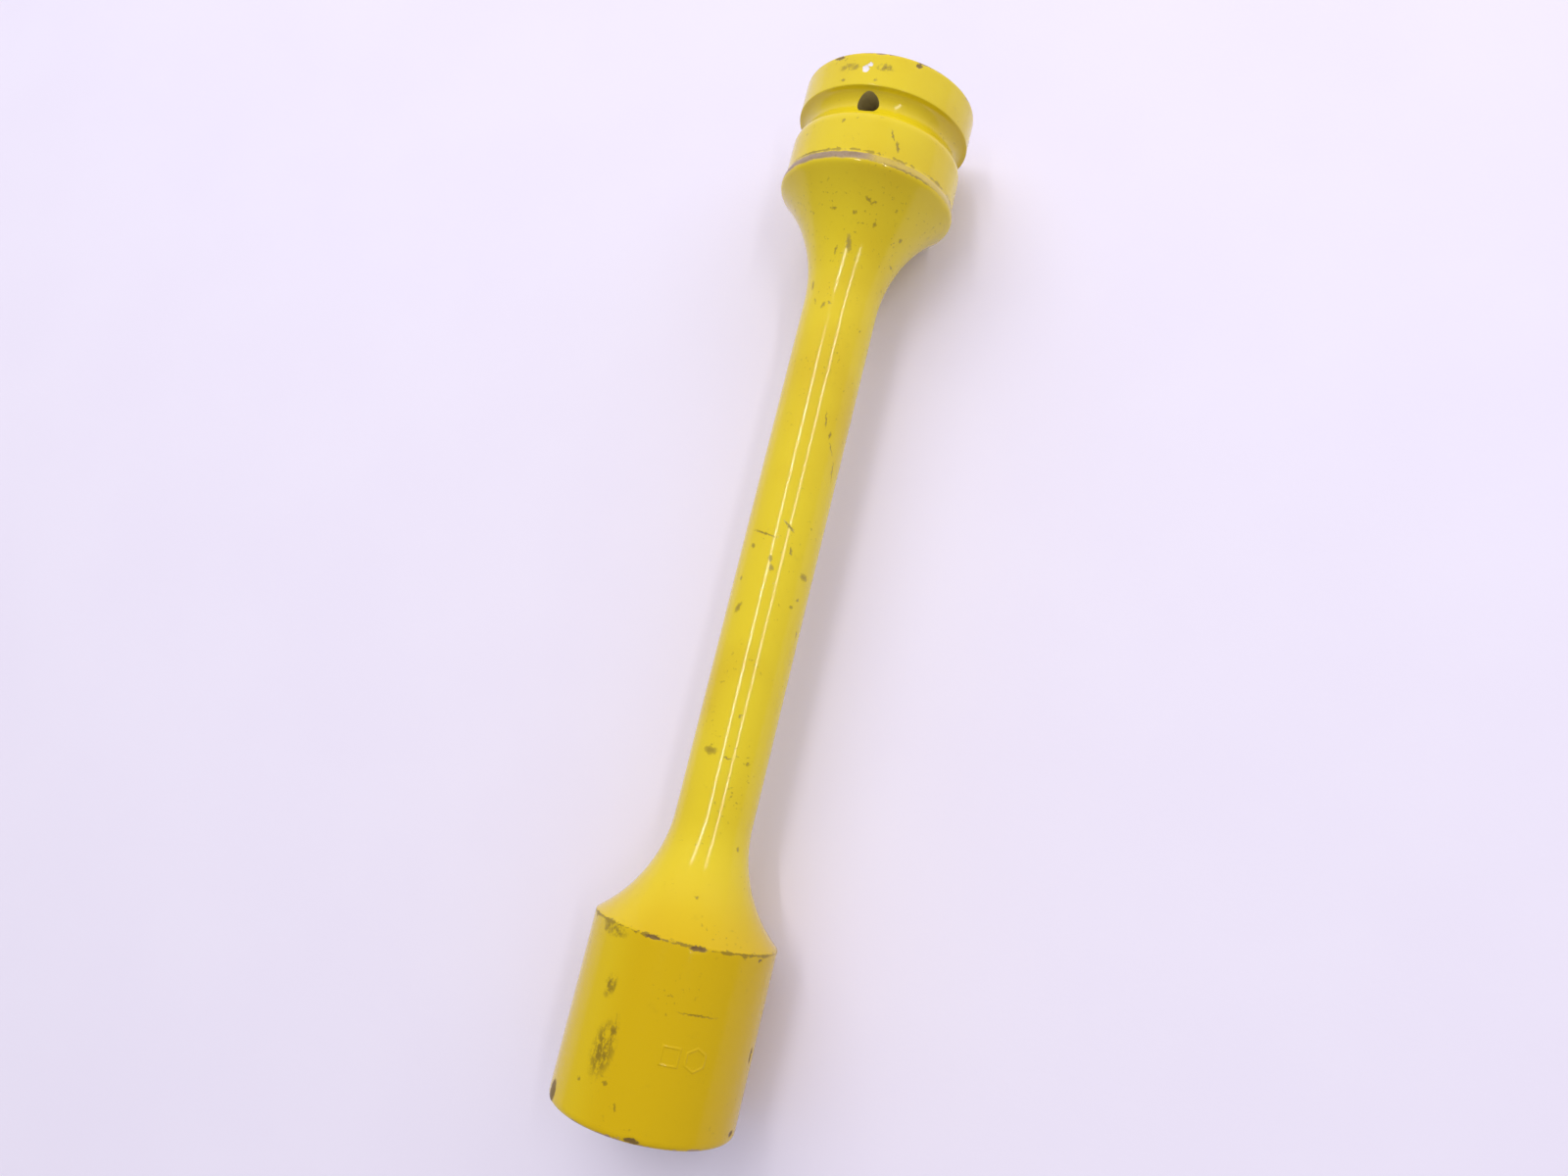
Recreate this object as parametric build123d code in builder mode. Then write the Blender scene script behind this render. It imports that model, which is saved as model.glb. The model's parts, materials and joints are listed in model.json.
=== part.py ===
"""Torque-limiting wheel-nut socket for a 1 inch square drive impact wrench.

One steel forging, turned and broached, in millimetres. It lies along Y with its axis at z = 0.
The origin is the centre of the square drive's mouth; the nut end points towards -Y.
"""
from build123d import *
import os
from math import acos, cos, radians, sin, sqrt, tan

os.makedirs("parts", exist_ok=True)

# ---- driving dimensions, millimetres and degrees ------------------------------------------
overall_length = 311.0        # square drive mouth to hex mouth

# drive head: collar, ring groove, body, raised band
collar_diameter = 54.0
collar_length = 11.0
body_diameter = 53.2
ridge_diameter = 55.6         # the widest place, before its edge is rounded
ridge_station = 35.3          # from the drive mouth
band_length = 3.2             # conical rise from the body to the ridge
drive_rim_radius = 1.2        # outer edge of the drive mouth
ridge_radius = 2.4

# groove that holds the rubber ring, and the cross hole of the retaining pin in its floor
groove_width = 8.0
groove_depth = 3.2
groove_lip_radius = 0.8
pin_hole_diameter = 6.6

# square drive
square_side = 25.6
square_depth = 30.0
square_corner_radius = 1.2
square_lead_in = 1.2          # depth and width of the countersink beyond the square's corners
core_drill_diameter = 24.0    # the drilled core leaves a cone under the square's floor
drill_point_angle = 118.0

# torsion shank and the two flares, each one hollow arc that runs out tangent to the shank
shank_diameter = 22.9
drive_flare_radius = 46.0
nut_flare_radius = 40.0

# nut head
nut_head_diameter = 52.8
nut_head_length = 51.0
nut_rim_radius = 1.8
shoulder_radius = 0.5
hex_across_flats = 33.0
hex_clearance = 0.3           # added to the nut's size so that it slides on
hex_depth = 33.0
hex_corner_radius = 1.4
hex_lead_in = 1.0
stud_bore_diameter = 30.0     # room for the wheel stud behind the hex
stud_bore_depth = 48.0        # from the hex mouth to the end of its straight wall
# -------------------------------------------------------------------------------------------

collar_radius = collar_diameter / 2
body_radius = body_diameter / 2
widest_radius = ridge_diameter / 2
shank_radius = shank_diameter / 2
nut_head_radius = nut_head_diameter / 2
nut_mouth_y = -overall_length
shoulder_y = nut_mouth_y + nut_head_length
ridge_y = -ridge_station
band_y = ridge_y + band_length
groove_top_y = -collar_length
groove_foot_y = groove_top_y - groove_width
groove_floor_radius = body_radius - groove_depth
pin_hole_y = groove_top_y - groove_width / 2


def flare(widest, arc_radius):
    """Length of a flare, and the place and radius halfway along its arc, from where it meets the shank."""
    angle = acos(1 - (widest - shank_radius) / arc_radius)
    length = arc_radius * sin(angle)
    mid_length = arc_radius * sin(angle / 2)
    mid_radius = shank_radius + arc_radius * (1 - cos(angle / 2))
    return length, mid_length, mid_radius


drive_flare_length, drive_mid_length, drive_mid_radius = flare(widest_radius, drive_flare_radius)
shank_top_y = ridge_y - drive_flare_length
nut_flare_length, nut_mid_length, nut_mid_radius = flare(nut_head_radius, nut_flare_radius)
shank_foot_y = shoulder_y + nut_flare_length

# countersinks at the two mouths, each just wider than the corners that it leads into
square_corner_reach = square_side / sqrt(2) - square_corner_radius * (sqrt(2) - 1)
hex_flats = hex_across_flats + hex_clearance
hex_corner_reach = hex_flats / sqrt(3) - hex_corner_radius * (2 / sqrt(3) - 1)

# drilled cones at the bottoms of the two cavities
core_radius = core_drill_diameter / 2
core_cone_height = core_radius / tan(radians(drill_point_angle / 2))
stud_bore_radius = stud_bore_diameter / 2
stud_cone_height = stud_bore_radius / tan(radians(drill_point_angle / 2))


def vertex_at(vertices, radius, y):
    """The profile's corner nearest to a radius and a place along the axis."""
    return vertices.sort_by_distance((radius, y, 0))[0]


with BuildPart() as socket_body:
    # turned outside, as half a section: x is the radius and y lies along the axis
    with BuildSketch(Plane.XY) as outside:
        with BuildLine():
            Polyline((0, 0), (collar_radius, 0), (collar_radius, groove_top_y))
            ThreePointArc(
                (collar_radius, groove_top_y),
                (groove_floor_radius, pin_hole_y),
                (body_radius, groove_foot_y),
            )
            Polyline(
                (body_radius, groove_foot_y),
                (body_radius, band_y),
                (widest_radius, ridge_y),
            )
            ThreePointArc(
                (widest_radius, ridge_y),
                (drive_mid_radius, shank_top_y + drive_mid_length),
                (shank_radius, shank_top_y),
            )
            Line((shank_radius, shank_top_y), (shank_radius, shank_foot_y))
            ThreePointArc(
                (shank_radius, shank_foot_y),
                (nut_mid_radius, shank_foot_y - nut_mid_length),
                (nut_head_radius, shoulder_y),
            )
            Polyline(
                (nut_head_radius, shoulder_y),
                (nut_head_radius, nut_mouth_y),
                (0, nut_mouth_y),
                (0, 0),
            )
        make_face()
        fillet(vertex_at(outside.vertices(), collar_radius, 0), drive_rim_radius)
        fillet(vertex_at(outside.vertices(), body_radius, groove_foot_y), groove_lip_radius)
        fillet(vertex_at(outside.vertices(), widest_radius, ridge_y), ridge_radius)
        fillet(vertex_at(outside.vertices(), nut_head_radius, shoulder_y), shoulder_radius)
        fillet(vertex_at(outside.vertices(), nut_head_radius, nut_mouth_y), nut_rim_radius)
    revolve(axis=Axis.Y)

    # square drive: broached hole with flats facing X and Z
    with BuildSketch(Plane.XZ):
        RectangleRounded(square_side, square_side, square_corner_radius)
    extrude(amount=square_depth, mode=Mode.SUBTRACT)

    # countersink of the square's mouth, and the drilled cone under its floor
    with BuildSketch(Plane.XY):
        with BuildLine():
            Polyline(
                (0, 0),
                (square_corner_reach + square_lead_in, 0),
                (square_corner_reach, -square_lead_in),
                (0, -square_lead_in),
                (0, 0),
            )
        make_face()
        with BuildLine():
            Polyline(
                (0, -square_depth),
                (core_radius, -square_depth),
                (0, -square_depth - core_cone_height),
                (0, -square_depth),
            )
        make_face()
    revolve(axis=Axis.Y, mode=Mode.SUBTRACT)

    # cross hole of the retaining pin, right through both walls at the groove's floor
    with Locations((0, pin_hole_y, 0)):
        Hole(radius=pin_hole_diameter / 2)

    # hex socket with two corners facing Z
    with BuildSketch(Plane.XZ.offset(-nut_mouth_y)) as hexagon:
        RegularPolygon(radius=hex_flats / 2, side_count=6, major_radius=False, rotation=30)
        fillet(hexagon.vertices(), hex_corner_radius)
    extrude(amount=-hex_depth, mode=Mode.SUBTRACT)

    # countersink of the hex mouth, then the stud bore with its drilled end
    with BuildSketch(Plane.XY):
        with BuildLine():
            Polyline(
                (0, nut_mouth_y),
                (hex_corner_reach + hex_lead_in, nut_mouth_y),
                (hex_corner_reach, nut_mouth_y + hex_lead_in),
                (stud_bore_radius, nut_mouth_y + hex_lead_in),
                (stud_bore_radius, nut_mouth_y + stud_bore_depth),
                (0, nut_mouth_y + stud_bore_depth + stud_cone_height),
                (0, nut_mouth_y),
            )
        make_face()
    revolve(axis=Axis.Y, mode=Mode.SUBTRACT)

socket_body.part.label = "socket_body"
export_step(socket_body.part, "parts/socket_body.step")

print("solids", len(socket_body.part.solids()), "volume", round(socket_body.part.volume / 1000, 2), "cm3")
print("box", socket_body.part.bounding_box())
print("shank straight from", round(-shank_top_y, 1), "to", round(-shank_foot_y, 1), "from the drive mouth")
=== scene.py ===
# %% [markdown]
# # A torque-limiting wheel-nut socket
#
# The real tool is one steel forging. A lathe turned its outside, a broach cut a square into one
# end and a hexagon into the other, and then it was sprayed with yellow enamel. Nothing on it moves.
#
# The CAD body already holds every size, so it stays where it is and serves as the frame. This
# lesson makes a finer skin for it, with the knocks, the paint and the wear of a working tool.

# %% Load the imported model
import json
from collections import namedtuple
from math import atan, atan2, cos, degrees, pi, radians, sin, sqrt, tan

import bpy
import numpy as np
from mathutils import Matrix, Vector, noise


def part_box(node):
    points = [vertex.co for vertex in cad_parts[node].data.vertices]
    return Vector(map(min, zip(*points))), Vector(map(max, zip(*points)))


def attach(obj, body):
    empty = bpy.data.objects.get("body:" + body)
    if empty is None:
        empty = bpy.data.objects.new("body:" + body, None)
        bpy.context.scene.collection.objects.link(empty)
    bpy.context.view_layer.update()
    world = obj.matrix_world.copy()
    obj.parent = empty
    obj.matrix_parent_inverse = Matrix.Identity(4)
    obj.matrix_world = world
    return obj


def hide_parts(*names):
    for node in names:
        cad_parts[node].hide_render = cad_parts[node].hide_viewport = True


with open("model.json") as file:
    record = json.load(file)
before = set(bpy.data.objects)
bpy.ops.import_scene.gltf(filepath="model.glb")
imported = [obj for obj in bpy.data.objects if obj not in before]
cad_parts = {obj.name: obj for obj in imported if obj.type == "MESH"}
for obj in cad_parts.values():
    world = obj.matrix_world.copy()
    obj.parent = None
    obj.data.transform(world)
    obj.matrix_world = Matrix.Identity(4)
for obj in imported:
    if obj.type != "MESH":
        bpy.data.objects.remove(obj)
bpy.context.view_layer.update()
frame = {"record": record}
body_low, body_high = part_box("socket_body")
print("CAD body from", tuple(body_low), "to", tuple(body_high))

# %% [markdown]
# ## The sizes
#
# Every place on the tool is given by a station, which is how far it lies from the drive mouth,
# and by a radius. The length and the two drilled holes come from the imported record, so the skin
# follows the CAD model if those change. The rest repeats the drawing.

# %% Sizes
MM = 0.001


def drilled_hole(name):
    """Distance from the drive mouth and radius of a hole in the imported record, in metres."""
    hole = next(mount for mount in frame["record"]["mounts"] if mount["name"] == name)
    return -hole["pos_m"][1], hole["dims"]["r_mm"] * MM


pin_station, pin_radius = drilled_hole("retaining_pin_hole")
stud_station, stud_radius = drilled_hole("stud_clearance_bore")
overall_length = body_high.y - body_low.y

collar_radius = 27.0 * MM
collar_length = 11.0 * MM
body_radius = 26.6 * MM
ridge_radius = 27.8 * MM
ridge_station = 35.3 * MM
band_length = 3.2 * MM
groove_width = 8.0 * MM
groove_depth = 3.2 * MM
shank_radius = 11.45 * MM
drive_flare_radius = 46.0 * MM
nut_flare_radius = 40.0 * MM
nut_head_radius = 26.4 * MM
nut_head_length = 51.0 * MM

square_side = 25.6 * MM
square_depth = 30.0 * MM
square_corner_radius = 1.2 * MM
square_lead_in = 1.2 * MM
core_drill_radius = 12.0 * MM
hex_across_flats = 33.3 * MM
hex_depth = 33.0 * MM
hex_corner_radius = 1.4 * MM
hex_lead_in = 1.0 * MM
stud_bore_depth = 48.0 * MM
drill_half_angle = radians(59.0)

band_station = ridge_station - band_length
groove_end = collar_length + groove_width
shoulder_station = overall_length - nut_head_length
print("overall length", round(overall_length / MM, 1), "mm")

# %% [markdown]
# ## Drawing the turned outline
#
# A lathe makes straight cuts and round ones, so the outline is a chain of straight lines and
# arcs, drawn as half a section. A Screw modifier could spin such a line into a solid. Here the
# points are kept as plain numbers instead, because each ring is going to be dented later.

# %% Lines, arcs and rounded corners
DRAWING_STEP = 0.05 * MM


def straight(start, end):
    """Points from one corner of the outline towards the next, without the last."""
    count = max(1, round((end - start).length / DRAWING_STEP))
    return [start.lerp(end, i / count) for i in range(count)]


def arc(start, middle, end):
    """Points along the circle through three places, without the last."""
    a, b = middle - start, end - start
    cross = 2 * (a.x * b.y - a.y * b.x)
    centre = start + Vector((
        (b.y * a.length_squared - a.y * b.length_squared) / cross,
        (a.x * b.length_squared - b.x * a.length_squared) / cross,
    ))
    spokes = [place - centre for place in (start, middle, end)]
    turn = 0.0
    for first, second in zip(spokes, spokes[1:]):
        turn += atan2(first.x * second.y - first.y * second.x, first.dot(second))
    count = max(2, round(abs(turn) * spokes[0].length / DRAWING_STEP))
    return [centre + Matrix.Rotation(turn * i / count, 2) @ spokes[0] for i in range(count)]


def soften(path, corner, reach):
    """The path with the stretch within reach of a corner bent into one smooth curve."""
    nearest = min(range(len(path)), key=lambda i: (path[i] - corner).length)
    span = round(reach / DRAWING_STEP)
    first, last = path[nearest - span], path[nearest + span]
    bend = []
    for i in range(2 * span + 1):
        t = i / (2 * span)
        bend.append((1 - t) ** 2 * first + 2 * t * (1 - t) * corner + t ** 2 * last)
    return path[:nearest - span] + bend + path[nearest + span + 1:]


# %% [markdown]
# ## The outline of this tool
#
# From the drive mouth come the collar, the round groove for a rubber ring, the body, a narrow
# conical band and the ridge. A long hollow flare runs down to the shank, which is thin on
# purpose: it winds up like a spring and gives the wheel nut its set torque. A second flare ends
# at the sharp shoulder of the nut head. Each flare leaves the shank without a kink, because its
# arc is centred straight above the place where the shank ends.

# %% Draw the outline


def flare_length(widest, bend_radius):
    """How far along the tool a flare reaches, from the shank up to its widest radius."""
    rise = widest - shank_radius
    return sqrt(bend_radius ** 2 - (bend_radius - rise) ** 2)


def flare_radius(distance, bend_radius):
    """Radius of the tool at some distance beyond the end of the shank."""
    return shank_radius + bend_radius - sqrt(bend_radius ** 2 - distance ** 2)


shank_start = ridge_station + flare_length(ridge_radius, drive_flare_radius)
shank_end = shoulder_station - flare_length(nut_head_radius, nut_flare_radius)
drive_middle = (shank_start - ridge_station) / 2
nut_middle = (shoulder_station - shank_end) / 2
square_mouth = square_side / sqrt(2) - square_corner_radius * (sqrt(2) - 1) + square_lead_in
hex_mouth = hex_across_flats / sqrt(3) - hex_corner_radius * (2 / sqrt(3) - 1) + hex_lead_in

drive_mouth_edge = Vector((0.0, collar_radius))
groove_start_edge = Vector((collar_length, collar_radius))
groove_floor = Vector((pin_station, body_radius - groove_depth))
groove_lip = Vector((groove_end, body_radius))
band_foot = Vector((band_station, body_radius))
ridge = Vector((ridge_station, ridge_radius))
drive_flare_middle = Vector((shank_start - drive_middle, flare_radius(drive_middle, drive_flare_radius)))
shank_top = Vector((shank_start, shank_radius))
shank_foot = Vector((shank_end, shank_radius))
nut_flare_middle = Vector((shank_end + nut_middle, flare_radius(nut_middle, nut_flare_radius)))
shoulder = Vector((shoulder_station, nut_head_radius))
nut_mouth_edge = Vector((overall_length, nut_head_radius))

outline = straight(Vector((0.0, square_mouth)), drive_mouth_edge)
outline += straight(drive_mouth_edge, groove_start_edge)
outline += arc(groove_start_edge, groove_floor, groove_lip)
outline += straight(groove_lip, band_foot) + straight(band_foot, ridge)
outline += arc(ridge, drive_flare_middle, shank_top)
outline += straight(shank_top, shank_foot)
outline += arc(shank_foot, nut_flare_middle, shoulder)
outline += straight(shoulder, nut_mouth_edge)
outline += straight(nut_mouth_edge, Vector((overall_length, hex_mouth)))

roundings = [
    (drive_mouth_edge, 1.2),
    (groove_start_edge, 0.3),
    (groove_lip, 2.8),
    (band_foot, 0.4),
    (ridge, 1.8),
    (shoulder, 0.35),
    (nut_mouth_edge, 1.8),
]
for corner, reach in roundings:
    outline = soften(outline, corner, reach * MM)
print("outline drawn with", len(outline), "points, widest", round(max(p.y for p in outline) / MM, 2), "mm")

# %% [markdown]
# ## Choosing the rings
#
# Each kept point becomes one ring of the skin. Rings are wanted close together where the outline
# bends and where the tool gets knocked, and further apart on the plain shank. So the path is
# walked once, and a point is kept each time it has turned a little or gone far enough.

# %% Thin the outline into rows
HEAD_GAP = 0.6 * MM
FLARE_GAP = 1.1 * MM
SHANK_GAP = 2.0 * MM
MOST_TURN = radians(11.0)


def row_gap(station):
    """The widest gap between rings at this station."""
    if shank_start < station < shank_end:
        return SHANK_GAP
    if ridge_station < station < shoulder_station:
        return FLARE_GAP
    return HEAD_GAP


def thin(path):
    """The few points that the skin needs, close together where the path turns."""
    rows = [path[0]]
    turned = 0.0
    for before, here, after in zip(path, path[1:], path[2:]):
        turned += abs((here - before).angle(after - here, 0.0))
        if turned > MOST_TURN or (here - rows[-1]).length > row_gap(here.x):
            rows.append(here)
            turned = 0.0
    return rows + [path[-1]]


outside_rows = thin(outline)
print("kept", len(outside_rows), "rings for the outside")

# %% [markdown]
# ## Rings
#
# A turned place is a round ring. Inside the mouths the ring is a square or a hexagon with rounded
# corners. All rings have the same number of points, so that any two neighbours can be joined by
# four-sided faces. A polygon ring spends a fifth of its points on its corners, which keeps them
# crisp.

# %% Round rings and polygon rings
AROUND = 216
CORNER_SHARE = 0.2


def round_ring(station, radius):
    """A circle of points round the tool's axis. The first one is on the +Z side."""
    angles = np.arange(AROUND) * 2 * pi / AROUND
    across = radius * np.sin(angles)
    upward = radius * np.cos(angles)
    return np.stack([across, np.full(AROUND, -station), upward], axis=1)


def polygon_ring(station, apothem, corner_radius, sides, first_flat):
    """A polygon with rounded corners. first_flat is the angle that one of its flats faces."""
    each = AROUND // sides
    sector = 2 * pi / sides
    half_flat = (apothem - corner_radius) * tan(sector / 2)
    half_share = (1 - CORNER_SHARE) / 2
    points = np.zeros((AROUND, 3))
    shift = round(first_flat / (2 * pi) * AROUND)
    for k in range(AROUND):
        side, share = divmod(k, each)
        share /= each
        facing = first_flat + side * sector
        if share > 1 - half_share:
            facing += sector
            along, out = -half_flat * (1 - share) / half_share, apothem
        elif share < half_share:
            along, out = half_flat * share / half_share, apothem
        else:
            bend = sector * (share - half_share) / CORNER_SHARE
            along = half_flat + corner_radius * sin(bend)
            out = apothem - corner_radius + corner_radius * cos(bend)
        across = out * sin(facing) + along * cos(facing)
        upward = out * cos(facing) - along * sin(facing)
        points[(k + shift) % AROUND] = across, -station, upward
    return points


# %% [markdown]
# ## The two cavities
#
# A drill goes in first and leaves a cone at the bottom. Then a broach scrapes the square or the
# hexagon, down to a flat floor, and a countersink opens the mouth so that the drive or the nut
# finds its way in. The edges that a broach leaves are broken with a small bevel here, because
# even a sharp edge catches a little light.

# %% Rings of the square drive and of the hexagon
BROKEN_EDGE = 0.25 * MM
WALL_ROWS = 8
mouth_room = 0.3 * MM        # the countersink is this much wider than the corners it leads into


def cone_rings(tip, wide, radius, count=4):
    """Rings from near the tip of a drilled cone to its wide end."""
    return [round_ring(tip + (wide - tip) * i / count, radius * i / count) for i in range(1, count + 1)]


def wall_rings(start, end, apothem, corner_radius, sides, first_flat):
    """Rings along a broached wall, from its floor out to the bevel of its mouth."""
    rings = []
    outward = 1 if end > start else -1
    for i in range(WALL_ROWS + 1):
        station = start + (end - outward * BROKEN_EDGE - start) * i / WALL_ROWS
        rings.append(polygon_ring(station, apothem, corner_radius, sides, first_flat))
    rings.append(polygon_ring(end, apothem + BROKEN_EDGE, corner_radius + BROKEN_EDGE, sides, first_flat))
    return rings


square_tip = square_depth + core_drill_radius / tan(drill_half_angle)
square_rings = cone_rings(square_tip, square_depth, core_drill_radius)
square_rings += wall_rings(square_depth, square_lead_in, square_side / 2, square_corner_radius, 4, 0.0)
square_rings.append(round_ring(square_lead_in, square_mouth - square_lead_in + mouth_room))
square_rings.append(round_ring(BROKEN_EDGE, square_mouth - BROKEN_EDGE))

hex_floor = overall_length - hex_depth
stud_floor = overall_length - stud_bore_depth
stud_tip = stud_floor - stud_radius / tan(drill_half_angle)
hex_mouth_floor = overall_length - hex_lead_in
hex_rings = cone_rings(stud_tip, stud_floor, stud_radius)
hex_rings += [round_ring(stud_station, stud_radius), round_ring(hex_floor, stud_radius)]
hex_apothem = hex_across_flats / 2
hex_rings += wall_rings(hex_floor, hex_mouth_floor, hex_apothem, hex_corner_radius, 6, radians(30.0))
hex_rings.append(round_ring(hex_mouth_floor, hex_mouth - hex_lead_in + mouth_room))
hex_rings.append(round_ring(overall_length - BROKEN_EDGE, hex_mouth - BROKEN_EDGE))
print("square drive", len(square_rings), "rings, hexagon and stud bore", len(hex_rings), "rings")

# %% [markdown]
# ## Skinning the rings
#
# One surface runs from the bottom of the square drive, over the outside, to the bottom of the
# stud bore. Its two ends close in a point, so the skin is watertight, like the real forging.
# Faces of the two cavities get the second material slot, which will hold bare steel.

# %% Skin
ENAMEL_SLOT, STEEL_SLOT = 0, 1


def skin(name, first_tip, rings, last_tip, steel_before, steel_after):
    """A closed mesh over the rings. Faces outside the two given rings take the steel slot."""
    points = np.concatenate([[first_tip], *rings, [last_tip]])
    faces = []
    slots = []
    for k in range(AROUND):
        faces.append((0, 1 + (k + 1) % AROUND, 1 + k))
        slots.append(STEEL_SLOT)
    for row in range(len(rings) - 1):
        here, there = 1 + row * AROUND, 1 + (row + 1) * AROUND
        for k in range(AROUND):
            beside = (k + 1) % AROUND
            faces.append((here + k, here + beside, there + beside, there + k))
            slots.append(STEEL_SLOT if row < steel_before or row >= steel_after else ENAMEL_SLOT)
    last = len(points) - 1
    end = 1 + (len(rings) - 1) * AROUND
    for k in range(AROUND):
        faces.append((last, end + k, end + (k + 1) % AROUND))
        slots.append(STEEL_SLOT)
    mesh = bpy.data.meshes.new(name)
    mesh.from_pydata(points.tolist(), [], faces)
    mesh.polygons.foreach_set("material_index", slots)
    mesh.update()
    piece = bpy.data.objects.new(name, mesh)
    bpy.context.collection.objects.link(piece)
    return piece


outside_rings = [round_ring(row.x, row.y) for row in outside_rows]
all_rings = square_rings + outside_rings + hex_rings[::-1]
steel_before = len(square_rings) - 1
steel_after = len(square_rings) + len(outside_rings)
socket_skin = skin(
    "painted_socket_body",
    (0.0, -square_tip, 0.0),
    all_rings,
    (0.0, -stud_tip, 0.0),
    steel_before,
    steel_after,
)
print("skin has", len(socket_skin.data.vertices), "points and", len(socket_skin.data.polygons), "faces")

# %% [markdown]
# ## The cross hole
#
# A pin goes right through the groove to lock the socket on its drive, and the rubber ring keeps
# the pin in. Both are missing here, so the hole stands open. A Boolean modifier drills it, with a
# finely sided cylinder as the drill, and the result is kept as a plain mesh.

# %% Drill the pin hole
DRILL_SIDES = 72


def drill_bit(name, station, radius, half_length):
    """A many-sided rod along Z, which is the way the pin goes."""
    points = []
    for height in (-half_length, half_length):
        for k in range(DRILL_SIDES):
            angle = 2 * pi * k / DRILL_SIDES
            points.append((radius * cos(angle), -station + radius * sin(angle), height))
    faces = [list(range(DRILL_SIDES))[::-1], list(range(DRILL_SIDES, 2 * DRILL_SIDES))]
    for k in range(DRILL_SIDES):
        beside = (k + 1) % DRILL_SIDES
        faces.append((k, beside, DRILL_SIDES + beside, DRILL_SIDES + k))
    mesh = bpy.data.meshes.new(name)
    mesh.from_pydata(points, [], faces)
    mesh.polygons.foreach_set("material_index", [STEEL_SLOT] * len(faces))
    bit = bpy.data.objects.new(name, mesh)
    bpy.context.collection.objects.link(bit)
    return bit


def keep_result(piece):
    """Replaces a piece's mesh by what its modifiers make of it."""
    made = bpy.data.meshes.new_from_object(piece.evaluated_get(bpy.context.evaluated_depsgraph_get()))
    piece.modifiers.clear()
    piece.data = made


for slot_name in ("yellow_enamel", "broached_steel"):
    socket_skin.data.materials.append(bpy.data.materials.new(slot_name))
bit = drill_bit("pin_drill", pin_station, pin_radius, collar_radius + MM)
for finish in socket_skin.data.materials:
    bit.data.materials.append(finish)
drilling = socket_skin.modifiers.new("drill", "BOOLEAN")
drilling.operation = "DIFFERENCE"
drilling.solver = "EXACT"
drilling.object = bit
keep_result(socket_skin)
bpy.data.objects.remove(bit)
print("drilled skin has", len(socket_skin.data.polygons), "faces")

# %% [markdown]
# ## Knocks and marks
#
# A tool like this is dropped and thrown about. Each mark below has a station and an angle, which
# is measured from the top of the tool towards +X, then how far it reaches along and around the
# tool, and how it is turned. The same list later tells the paint where it is chipped or scuffed.

# %% Lists of marks
Mark = namedtuple("Mark", "station angle along around turn depth", defaults=(0.0, 0.0))

fresh_chips = [                                  # struck through to clean metal
    Mark(5.6, -5.0, 1.5, 1.1, 25, 0.35),
    Mark(4.2, -2.5, 0.7, 0.9, 0, 0.2),
]
old_chips = [                                    # paint gone, the steel has turned brown
    Mark(1.0, -26.0, 0.8, 2.2, 0, 0.2),
    Mark(1.6, 28.0, 1.0, 1.1, 0, 0.25),
    Mark(2.0, 160.0, 1.4, 3.0, 0, 0.3),
    Mark(1.2, -120.0, 0.9, 2.2, 0, 0.25),
    Mark(308.0, -53.0, 3.6, 2.8, -12, -0.30),     # a burr, pushed out instead of in
    Mark(310.0, 14.5, 0.8, 2.4, 0, 0.3),
    Mark(308.0, 85.0, 1.0, 1.4, 0, 0.3),
    Mark(287.6, 88.5, 2.4, 0.8, 0, 0.35),
    Mark(309.6, 150.0, 1.2, 2.8, 0, 0.35),
    Mark(309.8, -140.0, 1.0, 3.4, 0, 0.3),
    Mark(260.4, -2.0, 0.6, 2.4, 0, 0.25),
    Mark(260.5, 25.5, 0.8, 2.8, 4, 0.3),
    Mark(261.4, 70.0, 0.6, 0.9, 0, 0.15),
    Mark(260.2, -150.0, 0.7, 4.0, 0, 0.25),
]
dark_scratches = [                               # thin lines that hold dirt
    Mark(25.2, 22.5, 2.2, 0.35, 25, 0.1),
    Mark(28.2, 27.0, 2.2, 0.60, 20, 0.15),
    Mark(260.1, 16.0, 0.35, 3.6, 3, 0.1),
    Mark(260.2, 62.0, 0.35, 14.0, 0, 0.1),
    Mark(260.3, -48.0, 0.30, 8.0, 0, 0.1),
    Mark(108.5, 35.5, 3.2, 0.3, 12),
    Mark(112.7, 47.5, 1.6, 0.45, 0),
    Mark(116.5, 56.0, 2.6, 0.3, 35),
    Mark(122.5, 69.5, 4.0, 0.25, 10),
    Mark(145.8, -15.0, 0.3, 5.4, -8),
    Mark(142.4, 20.0, 0.5, 3.0, -38),
    Mark(149.5, 31.0, 1.8, 0.4, 15),
    Mark(211.2, 14.0, 0.35, 1.6, 0),
    Mark(277.0, 34.0, 0.22, 7.0, 0),
    Mark(34.9, 38.0, 0.30, 13.0, 0),
    Mark(31.9, -30.0, 0.45, 11.0, 0),
]
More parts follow.
